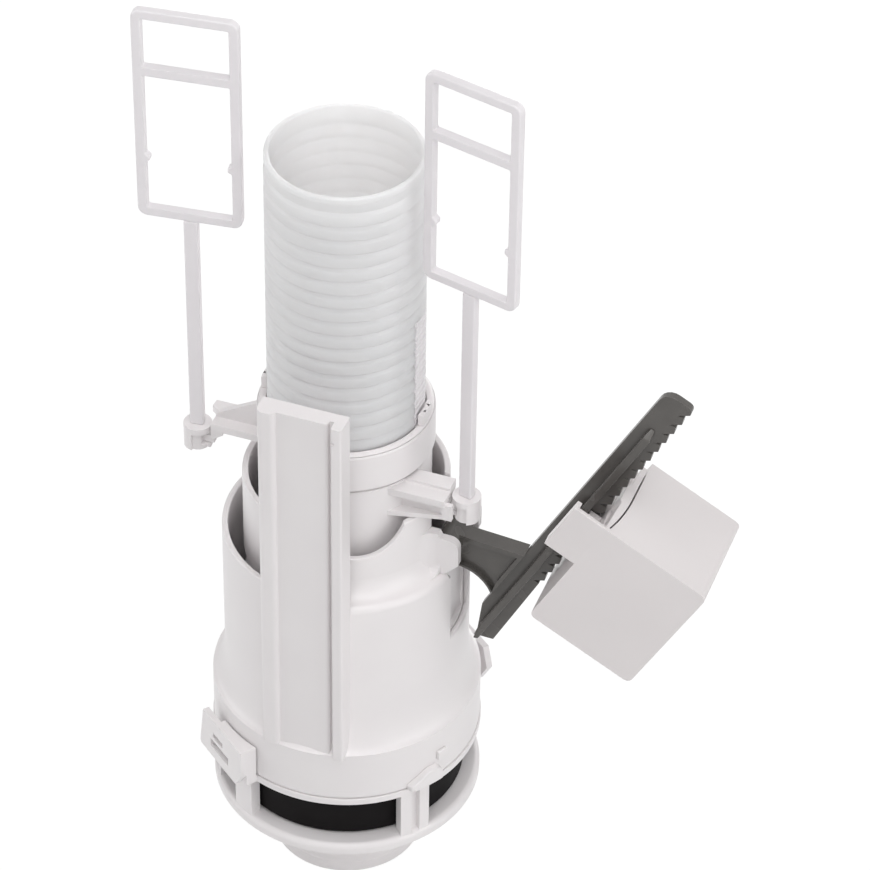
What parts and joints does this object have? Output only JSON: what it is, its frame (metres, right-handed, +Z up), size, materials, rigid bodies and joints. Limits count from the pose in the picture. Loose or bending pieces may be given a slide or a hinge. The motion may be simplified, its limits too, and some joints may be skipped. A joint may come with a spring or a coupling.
{
  "type": "toilet flush valve",
  "caption": "Cistern flush valve: outlet base, valve body with guide column, lifting sleeve with overflow tube, pull rods with frames, and a float lever carrying an adjustable float box.",
  "frame": {"origin": "on the overflow tube's axis, at the underside of the outlet base, where the spigot begins", "axes": "+Z up along the overflow tube; the float lever stands out to +X; the guide column is on the -Y side"},
  "size_m": [0.1889, 0.0934, 0.329],
  "materials": {
    "white_plastic": "satin moulded white",
    "pearl_plastic": "satin moulded off-white, slightly translucent",
    "grey_plastic": "semi-gloss moulded dark grey",
    "black_rubber": "matt black",
    "black_plastic": "matt black"
  },
  "bodies": {
    "base": {"outlet_base": "white_plastic", "bracket_left": "white_plastic", "bracket_right": "white_plastic"},
    "body": {"body_skirt": "white_plastic", "body_flare": "white_plastic", "body_shell": "white_plastic", "lever_recess": "white_plastic", "shoulder_front": "white_plastic", "shoulder_back": "white_plastic", "inner_neck": "white_plastic", "guide_column": "white_plastic", "ear_front": "white_plastic", "ear_back": "white_plastic", "lock_wedge": "white_plastic", "lock_nub": "white_plastic"},
    "lift": {"lift_sleeve": "white_plastic", "adjust_collar": "white_plastic", "clip_right": "white_plastic", "clip_left": "white_plastic", "full_arm": "white_plastic", "half_arm": "white_plastic", "seal_carrier": "black_plastic", "valve_seal": "black_rubber", "inner_float": "white_plastic"},
    "tube": {"overflow_tube": "pearl_plastic", "strip_right": "pearl_plastic", "strip_left": "pearl_plastic"},
    "full_pull": {"full_foot": "white_plastic", "full_rod": "pearl_plastic", "full_frame": "pearl_plastic"},
    "half_pull": {"half_foot": "white_plastic", "half_rod": "pearl_plastic", "half_frame": "pearl_plastic"},
    "lever": {"lever_neck": "grey_plastic", "lever_rack": "grey_plastic", "rack_rib_front": "grey_plastic", "rack_rib_back": "grey_plastic"},
    "box": {"float_box": "white_plastic", "box_wing": "white_plastic", "guide_front": "white_plastic", "guide_back": "white_plastic", "box_latch": "white_plastic"}
  },
  "joints": [
    {"name": "bayonet_turn", "type": "hinge", "parent": "base", "child": "body", "pos_m": [0, 0, 0.0255], "axis": [0, 0, 1], "range_deg": [0, 20]},
    {"name": "valve_lift", "type": "slide", "parent": "body", "child": "lift", "axis": [0, 0, 1], "range_m": [0, 0.014]},
    {"name": "tube_height", "type": "slide", "parent": "lift", "child": "tube", "axis": [0, 0, 1], "range_m": [-0.02, 0.02]},
    {"name": "full_rod_swivel", "type": "hinge", "parent": "lift", "child": "full_pull", "pos_m": [0.04445, -0.0105, 0.1367], "axis": [0, 0, 1], "range_deg": [-20, 20]},
    {"name": "half_rod_swivel", "type": "hinge", "parent": "lift", "child": "half_pull", "pos_m": [-0.04665, -0.0105, 0.1397], "axis": [0, 0, 1], "range_deg": [-20, 20]},
    {"name": "float_swing", "type": "hinge", "parent": "body", "child": "lever", "pos_m": [0.03665, 0, 0.1135], "axis": [0, -1, 0], "range_deg": [0, 25]},
    {"name": "box_height", "type": "slide", "parent": "lever", "child": "box", "axis": [0.4772, 0, 0.8788], "range_m": [-0.025, 0.038]}
  ]
}
